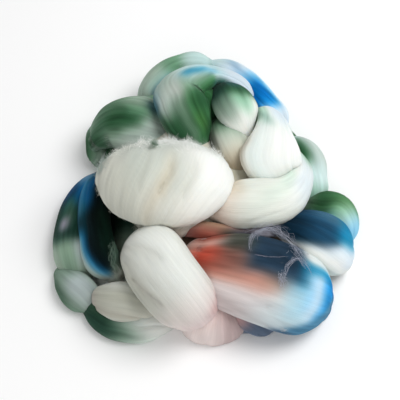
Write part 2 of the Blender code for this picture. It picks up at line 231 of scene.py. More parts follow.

# Each run's own colour, then the marks laid on it in turn; the comments among them tell which are painted
# shade or light.
CHART = {
    "crown": ("snow", [
        # Painted shade: wool_shade darkens the crown's left side, which is turned from the key light, and a
        # smaller patch further along; cream_brown browns its front end, where it rolls down into the
        # crevice.
        ("wool_shade", -30, 90, UNDER, 66, 20, 44, 0.9), ("mist", 16, 30, 56, 84, 8, 14, 0.4),
        ("mist", 22, 34, 88, 96, 8, 8, 0.3), ("mist", -30, 14, 70, 150, 6, 16, 0.5),
        ("wool_shade", 42, 52, 48, 72, 6, 12, 0.4), ("cream", 44, 70, 90, 140, 8, 30, 0.7),
        ("cream_brown", 56, 90, 60, 130, 6, 30, 0.5),
    ]),
    "shelf": ("shelf_white", [
        ("snow", 24, 52, 56, 120, 12, 20, 0.7), ("pale_blue", 10, 40, 80, 160, 10, 20, 0.5),
        ("leaf_soft", 6, 16, 96, 130, 4, 12, 0.6), ("mint_pale", 32, 64, 24, 50, 8, 14, 0.8, 1.6),
        ("wool_pale", 56, 82, *ALL, 12, 20, 0.5), ("peach_pale", 84, 110, *ALL, 8, 10, 0.7),
        # Painted shadow: cream_brown along its back, in the crease against the crown.
        ("cream_brown", 78, 84, UNDER, 70, 3, 14, 0.6),
    ]),
    "shoulder": ("shoulder_white", [
        ("snow", 42, 62, 70, 150, 12, 24, 0.9), ("pale_blue", 0, 28, 84, 150, 8, 18, 0.8),
        ("sky", -6, 9, 62, 108, 4, 14, 0.4), ("mint", 8, 28, 24, 52, 8, 12, 0.6),
        ("mint_grey", 18, 34, 18, 32, 5, 10, 0.9, 2.2), ("grey_green", 18, 28, 0, 24, 5, 8, 0.7),
        # Painted shade: cream down its left edge, and the brown in the crevice at its foot beside the curl.
        ("cream", 40, 80, -40, 24, 10, 16, 0.7), ("shadow_brown", 48, 58, -20, 24, 4, 10, 0.45, -2.0),
        ("grey_green", 34, 37, 138, 152, 3, 6, 0.5),
    ]),
    "inner_arch": ("mist_warm", [
        ("grey_green", 4, 33, 60, 132, 4, 14, 0.85), ("moss", 8, 28, 112, ROUND, 4, 16, 0.85),
        ("forest", 15, 26, 126, 160, 4, 10, 0.9), ("mist", 31, 39, 122, 148, 4, 10, 0.7),
        # teal and teal_pale: the dark line in the crease along its inner edge, partly teal dye and partly
        # painted crease shade.
        ("teal", 32, 44, 162, 210, 4, 10, 0.9), ("teal_pale", 39, 46, 152, 164, 3, 6, 0.8, -4.5),
        ("leaf_soft", 36, 50, 44, 76, 5, 12, 0.6), ("green", 8, 36, -10, 98, 5, 12, 0.95, -0.5),
        ("leaf_yellow", 16, 24, 64, 84, 4, 8, 0.5), ("forest", 10, 15, 46, 68, 4, 8, 0.7),
        ("forest", 30, 38, -10, 60, 4, 10, 0.8), ("sage", 44, 58, 104, 150, 5, 10, 0.8),
        ("aqua", 52, 70, 56, ROUND, 7, 14, 0.8), ("aqua_blue", 64, 82, 26, ROUND, 6, 14, 0.9),
        ("pale_blue", 86, 120, *ALL, 8, 10, 0.9), ("leaf_soft", 44, 68, -60, 42, 5, 14, 0.9, -0.4),
        ("green", 40, 68, -60, 24, 5, 12, 0.95, -0.3), ("forest", 52, 68, -60, 4, 5, 12, 0.7),
        ("teal_green", 66, 92, -60, 2, 4, 10, 0.95, 0.5), ("sea_blue", 52, 58, 70, 84, 3, 8, 0.85),
        ("sea_blue", 60, 66, 58, 70, 3, 8, 0.75), ("steel_sky", 66, 73, 44, 58, 3, 8, 0.6),
    ]),
    "curl_upper": ("white", [
        ("leaf_soft", 16, 28, 30, ROUND, 4, 16, 0.95), ("mint", 30, 35, 70, 112, 3, 12, 0.9),
        ("forest", 10, 26, 20, ROUND, 4, 14, 0.9), ("deep_green", -12, 18, *ALL, 4, 10, 0.9),
        ("deep_green", 10, 28, UNDER, 58, 5, 12, 0.95), ("teal", 10, 19, 80, 112, 4, 10, 0.5),
        # Painted shadow: grey_green along its lower left edge, where it lies over the curl below.
        ("grey_green", 27, 36, -40, 60, 4, 14, 0.8),
    ]),
    "curl_lower": ("cream_grey", [
        ("sage", 18, 27, 50, 120, 5, 14, 0.6), ("moss", -12, 19, *ALL, 5, 14, 0.95),
        ("olive_dark", 18, 32, UNDER, 22, 5, 12, 0.9), ("cream_warm", 35, 60, *ALL, 6, 10, 0.9),
        # Painted shade: the brown at its end, in the crevice it shares with the crown, the shoulder and the
        # shelf.
        ("shadow_brown", 39, 60, UNDER, 84, 5, 16, 0.5),
    ]),
    "arch_fill": ("green", [("forest", 12, 50, *ALL, 8, 16, 0.5)]),
    "outer_arch": ("mist", [
        ("sage", 20, 40, 56, 130, 8, 18, 0.8), ("mint_grey", 18, 33, 10, 44, 8, 12, 0.8),
        ("leaf_soft", 35, 46, 6, 100, 6, 16, 0.95), ("aqua", 52, 110, *ALL, 7, 10, 0.95),
        ("teal_pale", 4, 28, -50, 16, 8, 10, 0.9), ("sage", -12, 10, 30, ROUND, 8, 16, 0.6),
    ]),
    "arch_right": ("pale_blue", [
        ("aqua", -12, 14, *ALL, 8, 10, 0.8), ("slate", 18, 30, 70, 88, 6, 12, 0.7, -2.0),
        ("sky", 34, 60, 10, 110, 5, 14, 0.7), ("slate", 33, 37, 50, 62, 3, 8, 0.7),
        ("blue_soft", 38, 44, 36, 84, 4, 12, 0.8), ("blue", 42, 57, -30, 74, 3, 8, 1.0),
        ("teal_blue", 43, 48, 24, 40, 4, 8, 0.6), ("rim_blue", 55, 59, 26, 80, 3, 8, 0.8),
    ]),
    "green_left": ("sage", [
        ("moss", 6, 40, 26, 92, 6, 16, 0.95), ("grey_green", -16, 14, *ALL, 4, 20, 0.9),
        ("forest", -6, 8, 34, 66, 5, 10, 0.9, -3.0), ("sage", 3, 8, 56, 84, 3, 10, 0.6),
        ("moss", 12, 24, 92, 124, 5, 10, 0.9), ("forest", 18, 36, 38, 58, 5, 12, 0.95, 0.6),
        ("forest", 12, 30, 66, 84, 6, 10, 0.4), ("forest", 8, 14, 30, 56, 4, 10, 0.5),
        ("leaf_soft", 32, 42, 68, 80, 5, 8, 0.6), ("sage", 25, 34, 90, 112, 4, 10, 0.7),
        # Painted light: mist and wool_light lighten its underside, which lies in the crown's shade.
        ("mist", 31, 80, UNDER, 22, 14, 14, 0.85, 1.6), ("wool_light", 34, 60, UNDER, 2, 12, 12, 0.5, 0.8),
        # teal: the dark line in the crease against the inner arch, partly teal dye and partly painted crease
        # shade.
        ("mist", 43, 90, UNDER, 75, 4, 10, 0.95), ("teal", 39, 44, 96, 110, 2, 7, 0.9, -2.0),
    ]),
    "green_tip": ("moss", [
        ("mist", -10, 5, *ALL, 7, 10, 0.6), ("forest", 12, 40, UNDER, 100, 7, 10, 0.6),
        ("sage", 22, 40, 140, ROUND, 5, 20, 0.9),
    ]),
    "right_back": ("aqua_pale", [
        ("mist", -14, 26, 72, ROUND, 8, 16, 0.8), ("moss", 12, 29, -60, 58, 5, 12, 0.8),
        ("forest", 16, 27, -60, 46, 4, 10, 1.0), ("mint_mid", 47, 60, *ALL, 4, 10, 0.8),
    ]),
    "right_knee": ("fern", [
        ("leaf", 18, 25, 62, 100, 5, 14, 0.8), ("mint", 18, 28, 10, 62, 5, 12, 0.8),
        ("forest", 8, 16, 54, ROUND, 5, 12, 0.8), ("mist", -12, 3, *ALL, 5, 12, 0.9),
        ("hip_blue", -12, 10, UNDER, 20, 5, 10, 0.9), ("steel_light", 10, 18, UNDER, 40, 4, 8, 0.8),
        ("aqua", 26, 32, UNDER, 96, 4, 14, 0.9), ("sky", 31, 60, *ALL, 5, 10, 0.9),
    ]),
    "right_hip": ("white", [
        ("pale_blue", 36, 60, 50, 76, 6, 12, 0.7, 1.0), ("mist", 34, 70, -60, 14, 10, 16, 0.6),
        ("pale_blue", 56, 90, 52, ROUND, 6, 14, 0.9), ("navy", -12, 44, -54, ROUND, 6, 7, 1.0, 2.33),
        ("hip_blue", 33, 48, 58, ROUND, 7, 8, 0.9, 2.33), ("teal_pale", 34, 46, 122, ROUND, 5, 10, 0.7),
        ("sea_blue", 47, 57, 86, ROUND, 5, 10, 0.95), ("hip_blue", 10, 40, 116, ROUND, 8, 10, 0.5),
    ]),
    "fan": ("fan_white", [
        ("rose_grey", 10, 40, 14, 46, 16, 14, 0.4), ("pink", 2, 44, 58, 80, 8, 14, 0.4),
        ("fan_cool", 60, 84, UNDER, 62, 24, 22, 0.9), ("fan_blue", 60, 76, 56, 96, 6, 14, 0.8),
        ("peach", -4, 46, 80, 98, 8, 9, 0.9), ("peach", -12, 10, 118, 140, 6, 10, 0.7),
        ("coral", -2, 16, 96, 124, 7, 10, 1.0), ("rust", -4, 14, 147, ROUND, 6, 7, 1.0),
        ("taupe", 17, 31, 98, 132, 7, 10, 0.85), ("rust", 16, 24, 98, 116, 6, 10, 0.35),
        ("olive_dark", 18, 34, 128, ROUND, 7, 10, 0.9), ("grey_brown", 44, 52, 84, 96, 6, 8, 0.5),
        ("navy_fan", 33, 60, 102, ROUND, 5, 8, 1.0), ("steel_sky", 54, 60, 84, 98, 4, 8, 0.3),
        # sky and pale_blue: the pale band inside the blue rim, partly blue dye and partly painted sheen
        # where the band curves under.
        ("sea_blue", 60, 62, 98, 142, 3, 8, 0.6), ("sky", 66, 84, 74, ROUND, 3, 10, 0.9),
        ("pale_blue", 69, 73, 60, 130, 3, 10, 0.8), ("azure", 76, 120, 60, ROUND, 3, 10, 1.0),
        ("rim_blue", 80, 120, 76, ROUND, 2, 10, 1.0), ("wool_light", 62, 120, 142, ROUND, 4, 6, 0.9),
        ("sea_blue", 60, 86, 128, 137, 3, 5, 0.9), ("steel", 61, 120, UNDER, 22, 3, 8, 1.0, 2.6),
        ("slate_dark", 58, 70, UNDER, 20, 4, 8, 0.7), ("slate_dark", 40, 64, UNDER, -2, 6, 6, 0.6),
    ]),
    "fan_ridge": ("rosewood", [
        # Painted shadow: the brown on its back side, in the crevice under the shelf and the crown.
        ("rust", 6, 30, UNDER, 70, 8, 14, 0.9), ("shadow_brown", 6, 28, 104, ROUND, 8, 12, 0.7),
        ("rose", -12, 6, *ALL, 6, 10, 0.6), ("olive_dark", 28, 38, UNDER, 94, 6, 12, 0.9),
        ("navy_fan", 36, 50, UNDER, 84, 6, 12, 0.9), ("rose_grey", 34, 50, 92, ROUND, 6, 10, 0.9),
        ("lilac_grey", 50, 90, *ALL, 5, 10, 0.8),
    ]),
    "diagonal": ("wool_grey", [
        # Painted shade: wool_dim darkens its lower left side, and grey_brown its first end, which tucks
        # under the crown.
        ("wool_dim", -16, 56, UNDER, 42, 16, 20, 0.7), ("grey_brown", -16, 10, 44, 84, 6, 12, 0.6),
        ("wool_light", 26, 70, 98, 156, 14, 26, 1.0), ("white_pink", 72, 100, *ALL, 10, 20, 0.8),
        ("rose", 76, 104, 122, 190, 6, 14, 0.6), ("pink", 80, 100, 60, 118, 8, 20, 0.6),
    ]),
    "tuck_left": ("wool_dim", [
        # Painted light: wool_light lightens its back side, next to the diagonal, where the diagonal's shade
        # falls.
        ("wool_shade", 18, 60, UNDER, 96, 12, 24, 0.8), ("wool_light", 16, 60, 140, ROUND, 8, 16, 0.6),
        ("rose_grey", -10, 3, UNDER, 120, 7, 20, 0.6),
    ]),
    "base_left": ("mist", [
        ("white", 40, 90, *ALL, 12, 10, 0.8), ("grey_green", 14, 32, UNDER, 90, 10, 24, 0.8),
        ("forest_grey", -10, 20, *ALL, 12, 10, 1.0), ("deep_green", 6, 20, 48, 106, 6, 12, 0.6),
        ("mint_pale", 30, 48, 30, 50, 10, 14, 0.5),
    ]),
    "heel_left": ("heel", [
        ("lilac_mist", 14, 26, 110, 160, 8, 16, 0.6), ("grey_green", -12, 7, *ALL, 9, 10, 0.8),
        ("grey_green", -12, 60, UNDER, 66, 9, 24, 0.9), ("forest_grey", 4, 17, UNDER, 86, 5, 12, 0.6),
    ]),
    "blue_outer": ("sage_mist", [
        ("lilac_mist", 60, 69, 138, 180, 4, 10, 0.8), ("leaf_soft", 62, 70, 92, 124, 5, 12, 0.3),
        ("grey_green", 70, 74, 96, 134, 3, 12, 0.6), ("deep_green", 24, 55, *ALL, 5, 10, 1.0),
        ("deep_green", 52, 58, 76, ROUND, 4, 10, 0.9), ("navy_blue", -14, 30, *ALL, 8, 10, 1.0),
        ("blue_mid", 18, 34, 104, 124, 6, 8, 0.6, 0.6), ("teal_dark", 28, 40, 92, 108, 6, 8, 0.8, 0.6),
        ("moss", 36, 46, 100, 116, 5, 8, 0.6, 0.6), ("steel_light", -14, 44, 124, ROUND, 6, 6, 0.8, 0.5),
        ("teal_dark", -14, 14, *ALL, 4, 10, 0.7), ("slate", 8, 16, 88, 116, 4, 10, 0.8),
        ("lilac", 47, 53, 100, 114, 2, 7, 0.9),
    ]),
    # ink: partly dark dye and partly painted shadow under the crown. steel_light: partly blue dye and partly
    # painted sheen on its outer side.
    "blue_inner": ("ink", [
        ("ink_green", 42, 66, 134, ROUND, 8, 16, 0.95), ("teal_blue", -14, 34, UNDER, 110, 8, 12, 1.0),
        ("blue_mid", 16, 36, 62, 100, 6, 14, 0.5), ("teal_dark", 36, 56, UNDER, 88, 6, 12, 0.95),
        ("teal_dark", -14, 14, *ALL, 4, 10, 0.8), ("steel_light", 14, 40, 50, 74, 5, 10, 0.6),
        ("blue_mid", 56, 82, 50, 78, 6, 8, 0.9, 1.1), ("steel_light", 56, 86, UNDER, 66, 5, 10, 0.9, 1.1),
        ("mist", 60, 104, UNDER, 54, 6, 9, 0.95, 0.9), ("grey_green", 66, 110, 184, ROUND, 6, 12, 0.8, -5.0),
        ("wool_shade", 84, 110, *ALL, 4, 10, 0.9),
    ]),
    "base_front": ("white_pink", [
        ("rose", -10, 4, *ALL, 6, 10, 0.3), ("rose_grey", -10, 26, 112, ROUND, 8, 24, 0.6),
    ]),
    "front_tuck": ("rose_grey", [
        ("rose", 4, 14, 30, ROUND, 5, 14, 0.4), ("slate_dark", 18, 60, *ALL, 5, 10, 0.85),
    ]),
    "back_a": ("sage", [("green", 12, 34, *ALL), ("forest", 20, 28, *ALL)]),
    "back_b": ("mist", [("sage", 0, 18, *ALL, 12), ("leaf_soft", 50, 90, *ALL, 8)]),
    "back_c": ("pale_blue", [
        ("sky", 12, 30, *ALL, 14), ("blue", 26, 32, *ALL, 8), ("leaf", 40, 90, *ALL, 4),
    ]),
    "back_d": ("pale_blue", [("mint", 16, 30, *ALL, 12), ("green", 40, 60, *ALL, 10)]),
    "back_e": ("mist", [("forest", 8, 22, *ALL, 10), ("navy", 44, 70, *ALL, 10)]),
    "under_fan": ("fan_white", [("rose", 0, 24, *ALL, 12, 16, 0.5), ("slate_dark", 30, 100, *ALL, 14)]),
    "under_front": ("white_pink", [("wool_light", -10, 20, *ALL, 12)]),
    "heart_low": ("cream_brown", [
        ("ink_green", 56, 110, 112, ROUND, 6, 12, 1.0), ("sage", 10, 54, 124, ROUND, 6, 12, 0.9),
        # taupe: painted shadow where the heart shows under the shelf.
        ("taupe", 0, 60, 60, 100, 10, 20, 0.6),
    ]),
    "heart_high": ("cream_warm", [("ink_green", -10, 62, 124, ROUND, 8, 12, 1.0)]),
}

# ---- The surface of a run ----

# The fineness of the meshes: spacings in mm, and counts. A cap is as long as a share of the half width
# at its end.
STEPS_PER_STATION = 40
RING_SPACING = 1.6
SIDE_SPACING = 0.7
HIDDEN_SPACING = 1.6
CAP_RINGS = 9
CAP_LENGTH_SHARE = 0.8
MOUND_RINGS = 60
FEWEST_SIDES = 24
FEWEST_GRAINS = 3
TINY = 1e-9

# Folds and ridges: grain is their width across the fibres, stretch their length along them, depth how
# deep their troughs go (mm). A fold has a round crest and a narrow trough. A ridge is even.
Relief = namedtuple("Relief", "grain stretch depth folded")
RELIEFS = [
    Relief(15.0, 80.0, 1.0, True),
    Relief(7.0, 60.0, 0.4, True),
    Relief(3.0, 40.0, 0.14, False),
    Relief(1.7, 26.0, 0.07, False),
]
# Where a run is narrower than this half width (mm), its relief is lower.
FULL_RELIEF_WIDTH = 12.0

# The fibres of a run wander this far round it (a share of the whole turn), in this many waves round it,
# each of this length (mm).
WANDER_SHARE = 0.02
WANDER_WAVES = 5
WANDER_LENGTH = 45.0

# Trough: a deep fold, from one place on a run to another (along in mm, turn in degrees), with its
# half width and depth (mm), and the colour and amount of the painted shade laid in its crease.
Trough = namedtuple("Trough", "run along_a turn_a along_b turn_b width depth dye amount")
TROUGHS = [
    Trough("crown", 22, 98, 46, 84, 8.0, 1.8, "wool_shade", 0.3),
    Trough("crown", 25, 95, 34, 88, 1.6, 1.0, "cream_brown", 0.5),
    Trough("crown", 29, 91, 37, 82, 1.8, 1.5, "cream_brown", 0.7),
    Trough("crown", 35, 84, 46, 66, 1.8, 1.4, "cream_brown", 0.6),
    Trough("crown", 28, 112, 38, 103, 1.6, 1.2, "wool_shade", 0.8),
    Trough("crown", 24, 76, 36, 64, 1.6, 0.8, "wool_shade", 0.6),
    Trough("tuck_left", -4, 66, 44, 52, 2.0, 1.2, "grey_brown", 0.35),
    Trough("diagonal", 42, 44, 60, 60, 1.4, 0.7, "grey_brown", 0.3),
    Trough("diagonal", 18, 72, 44, 108, 1.8, 0.6, "wool_shade", 0.5),
]


def smooth(t):
    t = np.clip(t, 0.0, 1.0)
    return t * t * (3 - 2 * t)


def unit(vectors):
    return vectors / np.maximum(np.linalg.norm(vectors, axis=-1, keepdims=True), TINY)


def through(stations, at):
    """The points and half widths of the Catmull-Rom line at `at`, counted in stations from the first."""
    table = np.array(stations, float)
    last = len(table) - 1
    first = np.minimum(at.astype(int), last - 1)
    t = (at - first)[:, None]
    before, a, b, after = (table[np.clip(first + k, 0, last)] for k in (-1, 0, 1, 2))
    return 0.5 * (
        2 * a
        + (b - before) * t
        + (2 * before - 5 * a + 4 * b - after) * t**2
        + (3 * a - before - 3 * b + after) * t**3
    )


def cap_rings(end, inner):
    """The rings of the round cap past a run's end, and how far past it each lies."""
    turn = np.radians(90 * np.arange(1, CAP_RINGS + 1) / (CAP_RINGS + 0.5))
    outward = unit(end[:3] - inner[:3])
    reach = end[3] * CAP_LENGTH_SHARE * np.sin(turn)
    return np.column_stack((end[:3] + outward * reach[:, None], end[3] * np.cos(turn))), reach


def run_rings(run):
    """A run's rings, as centre and half width, how far along the run each lies, and the run's length."""
    stations = run.stations
    steps = STEPS_PER_STATION * (len(stations) - 1)
    fine = through(stations, np.linspace(0, len(stations) - 1, steps))
    step = np.linalg.norm(np.diff(fine[:, :3], axis=0), axis=1)
    travelled = np.concatenate(([0.0], np.cumsum(step)))
    length = travelled[-1]
    wanted = np.linspace(0, length, round(length / RING_SPACING) + 2)
    even = np.stack([np.interp(wanted, travelled, fine[:, k]) for k in range(4)], axis=1)
    first, first_reach = cap_rings(even[0], even[1])
    last, last_reach = cap_rings(even[-1], even[-2])
    along = np.concatenate((-first_reach[::-1], wanted, length + last_reach))
    return np.vstack((first[::-1], even, last)), along, length


def section(frames, angle, flatness):
    """The outline of each ring for a half width of 1, and the way that its points face."""
    across, outward = (axis[:, None, :] for axis in frames)
    cos = np.cos(angle)[:, None]
    sin = np.sin(angle)[:, None]
    flat = np.where(sin > 0, flatness, flatness * UNDER_SHARE)
    return across * cos + outward * (flat * sin), unit(across * (flat * cos) + outward * sin)


class Skin:
    """The surface of a run: a grid of points, rings by sides, with the first side underneath.

    For each point, `share` is its share of the turn round the run, `turn` the same in degrees, `down`
    its distance along the run (mm), and `fibre` the share of the turn that its fibre comes from.
    """

    def __init__(self, name, line, frames, flatness, twist, rng, spacing):
        self.name = name
        self.rings, self.along, length = line
        widths = self.rings[:, 3]
        self.girth = 2 * math.pi * widths.max() * math.sqrt((1 + flatness**2) / 2)
        sides = max(FEWEST_SIDES, round(self.girth / spacing))
        size = (len(widths), sides)
        share = np.arange(sides) / sides
        angle = 2 * math.pi * share - math.pi / 2
        self.share = np.broadcast_to(share, size)
        self.turn = np.broadcast_to(np.degrees(angle), size)
        self.down = np.broadcast_to(self.along[:, None], size)
        wander = self.grain(rng, self.share, self.girth / WANDER_WAVES, WANDER_LENGTH)
        self.fibre = self.share + twist / 360 * (self.down / length - 0.5)
        self.fibre = self.fibre + WANDER_SHARE * wander
        shape, lift = section(frames, angle, flatness)
        scale = np.minimum(1, widths / FULL_RELIEF_WIDTH)[:, None]
        sunk = (self.folds(rng) + self.troughs()) * scale
        self.points = self.rings[:, None, :3] + shape * widths[:, None, None] - lift * sunk[:, :, None]
        self.points = self.points - ORIGIN
        self.points[:, :, 2] = np.maximum(self.points[:, :, 2], 0.0)

    def grain(self, rng, around, cell, stretch):
        """Smooth noise from -1 to 1, `cell` mm wide and `stretch` mm long, at shares of the turn."""
        first = self.down.min()
        columns = max(FEWEST_GRAINS, round(self.girth / cell))
        rows = int((self.down.max() - first) / stretch) + FEWEST_GRAINS
        table = rng.uniform(-1.0, 1.0, (rows, columns))
        u = around * columns
        v = (self.down - first) / stretch + 0.5
        i = np.floor(u).astype(int)
        j = np.floor(v).astype(int)
        fu = smooth(u - i)
        fv = smooth(v - j)
        left = i % columns
        right = (i + 1) % columns
        near = table[j % rows, left] * (1 - fu) + table[j % rows, right] * fu
        far = table[(j + 1) % rows, left] * (1 - fu) + table[(j + 1) % rows, right] * fu
        return near * (1 - fv) + far * fv

    def folds(self, rng):
        """How deep the folds and ridges of the fibres sink the surface."""
        sunk = np.zeros_like(self.fibre)
        for relief in RELIEFS:
            noise = self.grain(rng, self.fibre, relief.grain, relief.stretch)
            fall = (1 - np.sqrt(np.abs(noise))) ** 2 if relief.folded else (1 - noise) / 2
            sunk = sunk + relief.depth * fall
        return sunk

    def nearness(self, trough):
        """How much of a trough lies at each point, from 0 to 1."""
        to_mm = self.girth / 360
        start = np.array((trough.along_a, trough.turn_a * to_mm))
        leg = np.array((trough.along_b, trough.turn_b * to_mm)) - start
        place = np.stack((self.down, self.turn * to_mm), axis=-1) - start
        part = np.clip((place @ leg) / (leg @ leg), 0, 1)
        gap = np.linalg.norm(place - part[:, :, None] * leg, axis=-1)
        return np.exp(-((gap / trough.width) ** 2))

    def troughs(self):
        """How deep the run's own troughs sink the surface."""
        sunk = np.zeros_like(self.fibre)
        for trough in TROUGHS:
            if trough.run == self.name:
                sunk = sunk + trough.depth * self.nearness(trough)
        return sunk

    def inward(self):
        """The direction into the run at each point of the grid."""
        down = np.gradient(self.points, axis=0)
        around = np.roll(self.points, -1, axis=1) - np.roll(self.points, 1, axis=1)
        return unit(np.cross(around, down))


def run_skin(run, rng):
    line = run_rings(run)
    centres = line[0][:, :3]
    forward = unit(np.gradient(centres, axis=0))
    across = unit(np.cross(forward, centres - FACING_CENTRE))
    outward = np.cross(across, forward)
    lean = math.radians(run.lean)
    frames = (
        across * math.cos(lean) - outward * math.sin(lean),
        outward * math.cos(lean) + across * math.sin(lean),
    )
    spacing = HIDDEN_SPACING if run.name.startswith(HIDDEN_RUNS) else SIDE_SPACING
    return Skin(run.name, line, frames, run.flatness, run.twist, rng, spacing)


def mound_skin(mound, rng):
    """A mound, as rings from its front to its back."""
    turn = np.linspace(0, math.pi, MOUND_RINGS + 2)[1:-1]
    rings = np.zeros((MOUND_RINGS, 4))
    rings[:, 0] = mound.x
    rings[:, 1] = mound.y - mound.half_y * np.cos(turn)
    rings[:, 2] = mound.z
    rings[:, 3] = mound.half_x * np.sin(turn)
    line = (rings, mound.half_y * (1 - np.cos(turn)), 2 * mound.half_y)
    frames = [np.tile(axis, (MOUND_RINGS, 1)) for axis in ((1.0, 0.0, 0.0), (0.0, 0.0, 1.0))]
    return Skin(mound.name, line, frames, mound.half_z / mound.half_x, 0, rng, HIDDEN_SPACING)


# ---- Dyeing, and painted shade and light ----

# The edge of a patch of dye runs out in fine and broad fingers along the fibres (mm), and sways
# round the run (degrees). Each cell of such noise has a width and a length (mm).
SOFTNESS = 1.9
FINE_FINGER = 1.6
FINE_CELL = (1.7, 26)
BROAD_FINGER = 1.6
BROAD_CELL = (7, 40)
SWAY = 5.0
SWAY_CELL = (14, 22)
# Wet dyes run into each other: how often the grid is blurred along a run and round it, and how many
# sides off the blur round it reaches.
SOFT_PASSES_ALONG = 3
SOFT_PASSES_ROUND = 3
SOFT_REACH = 2
# Dye takes unevenly: the deeper it is, the more it is mottled (a share of the dye).
MOTTLE = 0.28
MOTTLE_CELLS = ((3.2, 9), (1.7, 14))


def linear(colour):
    """A colour out of 255 as linear light (the sRGB curve)."""
    c = np.array(colour, float) / 255
    return np.where(c <= 0.04045, c / 12.92, ((c + 0.055) / 1.055) ** 2.4)


def beyond(value, low, high, fade):
    """How far a value lies outside a span, counted in fades. A softer fade starts further in."""
    inset = (SOFTNESS - 1) / 2 * fade
    return np.maximum(np.maximum(low - value, value - high) + inset, 0) / (SOFTNESS * fade)


def blended(tint, dye, weight):
    """The tint with a colour of the chart laid on it: a dye, painted shade or painted light."""
    return tint + (np.array(DYES_AND_PAINTED_SHADING[dye]) - tint) * weight[:, :, None]


def softened(tint):
    """The dyes run into each other, along the fibres and across them."""
    for _ in range(SOFT_PASSES_ALONG):
        held = np.concatenate((tint[:1], tint, tint[-1:]))
        tint = (held[:-2] + 2 * tint + held[2:]) / 4
    for _ in range(SOFT_PASSES_ROUND):
        tint = (np.roll(tint, SOFT_REACH, axis=1) + np.roll(tint, -SOFT_REACH, axis=1) + tint) / 3
    return tint


def with_dye_and_painted_shading(skin, rng):
    """The colour at each point of a skin's grid, as linear light: its dyes, and the shade and light that
    some marks and its troughs paint into it.
    """
    base, rows = CHART[skin.name]
    fine = skin.grain(rng, skin.fibre, *FINE_CELL)
    broad = skin.grain(rng, skin.fibre, *BROAD_CELL)
    along = skin.down + FINE_FINGER * fine + BROAD_FINGER * broad
    turn = skin.turn + SWAY * skin.grain(rng, skin.share, *SWAY_CELL)
    tint = np.broadcast_to(np.array(DYES_AND_PAINTED_SHADING[base], float), skin.points.shape)
    for mark in (Mark(*row) for row in rows):
        slid = turn - mark.slope * (skin.down - mark.start)
        off_end = beyond(along, mark.start, mark.end, mark.fade)
        off_side = beyond(slid, mark.low, mark.high, mark.feather)
        tint = blended(tint, mark.dye, mark.amount * smooth(1 - np.hypot(off_end, off_side)))
    # Each trough also paints shade into its crease.
    for trough in TROUGHS:
        if trough.run == skin.name:
            tint = blended(tint, trough.dye, trough.amount * skin.nearness(trough))
    tint = softened(tint)
    depth = 1 - tint.mean(axis=2) / 255
    mottle = sum(skin.grain(rng, skin.fibre, *cell) for cell in MOTTLE_CELLS)
    return linear(tint) * (1 + MOTTLE * depth * mottle)[:, :, None]


# ---- Meshes ----


def new_object(name, points, faces, tints, maps):
    """A mesh object from points in mm, with its dye and its maps."""
    mesh = bpy.data.meshes.new(name)
    mesh.from_pydata((points * MM).tolist(), [], faces)
    for map_name, values in maps.items():
        layer = mesh.uv_layers.new(name=map_name)
        layer.data.foreach_set("uv", values.astype(np.float32).ravel())
    dye = mesh.color_attributes.new("dye", "FLOAT_COLOR", "POINT")
    dye.data.foreach_set("color", np.column_stack((tints, np.ones(len(tints)))).astype(np.float32).ravel())
    mesh.polygons.foreach_set("use_smooth", np.ones(len(mesh.polygons), bool))
    mesh.update()
    obj = bpy.data.objects.new(name, mesh)
    bpy.context.scene.collection.objects.link(obj)
    return obj


def cells(rings, sides):
    """The ring and the side of each cell of a grid."""
    grids = np.meshgrid(np.arange(rings - 1), np.arange(sides), indexing="ij")
    return (grid.ravel() for grid in grids)


def corners(*places):
    """The places of faces' corners, given corner by corner as u and v, as one list of them all."""
    return np.stack([value for place in places for value in place], axis=1).reshape(-1, 2)


def grid_faces(rings, sides):
    """The quads between the rings, then the triangles from the end rings to a tip each."""
    ring, side = cells(rings, sides)
    here = ring * sides
    ahead = here + sides
    after = (side + 1) % sides
    quads = np.stack((here + side, here + after, ahead + after, ahead + side), axis=1)
    flat = np.arange(sides)
    following = (flat + 1) % sides
    last_ring = (rings - 1) * sides
    tip = rings * sides
    low = np.stack((following, flat, np.full(sides, tip)), axis=1)
    high = np.stack((flat + last_ring, following + last_ring, np.full(sides, tip + 1)), axis=1)
    return quads.tolist() + low.tolist() + high.tolist()


def grid_maps(skin):
    """The plain map that a skin is baked by, and the map of its combed fibres (mm round and along)."""
    rings, sides = skin.share.shape
    ring, side = cells(rings, sides)
    after = (side + 1) % sides
    wrap = (side == sides - 1).astype(float)
    span = (skin.along - skin.along[0]) / (skin.along[-1] - skin.along[0])
    plain = corners(
        (side / sides, span[ring]), ((side + 1) / sides, span[ring]),
        ((side + 1) / sides, span[ring + 1]), (side / sides, span[ring + 1]),
    )
    near = skin.along[ring]
    far = skin.along[ring + 1]
    fibre = skin.fibre
    combed = corners(
        (fibre[ring, side], near), (fibre[ring, after] + wrap, near),
        (fibre[ring + 1, after] + wrap, far), (fibre[ring + 1, side], far),
    )
    left = np.arange(sides) / sides
    right = (np.arange(sides) + 1) / sides
    middle = (left + right) / 2
    zeros = np.zeros(sides)
    low = corners((right, zeros), (left, zeros), (middle, zeros))
    high = corners((left, zeros + 1), (right, zeros + 1), (middle, zeros + 1))
    combed = np.vstack((combed, low + (0, skin.along[0]), high + (0, skin.along[-1] - 1)))
    return {"OFBake": np.vstack((plain, low, high)), "combed": combed * (skin.girth, 1)}


def meshed(skin, tint):
    """The skin as a closed mesh."""
    tips = np.stack((skin.points[0].mean(axis=0), skin.points[-1].mean(axis=0)))
    tip_tints = np.stack((tint[0].mean(axis=0), tint[-1].mean(axis=0)))
    points = np.vstack((skin.points.reshape(-1, 3), tips))
    tints = np.vstack((tint.reshape(-1, 3), tip_tints))
    return new_object(skin.name, points, grid_faces(*skin.share.shape), tints, grid_maps(skin))


# ---- Loose fibres ----

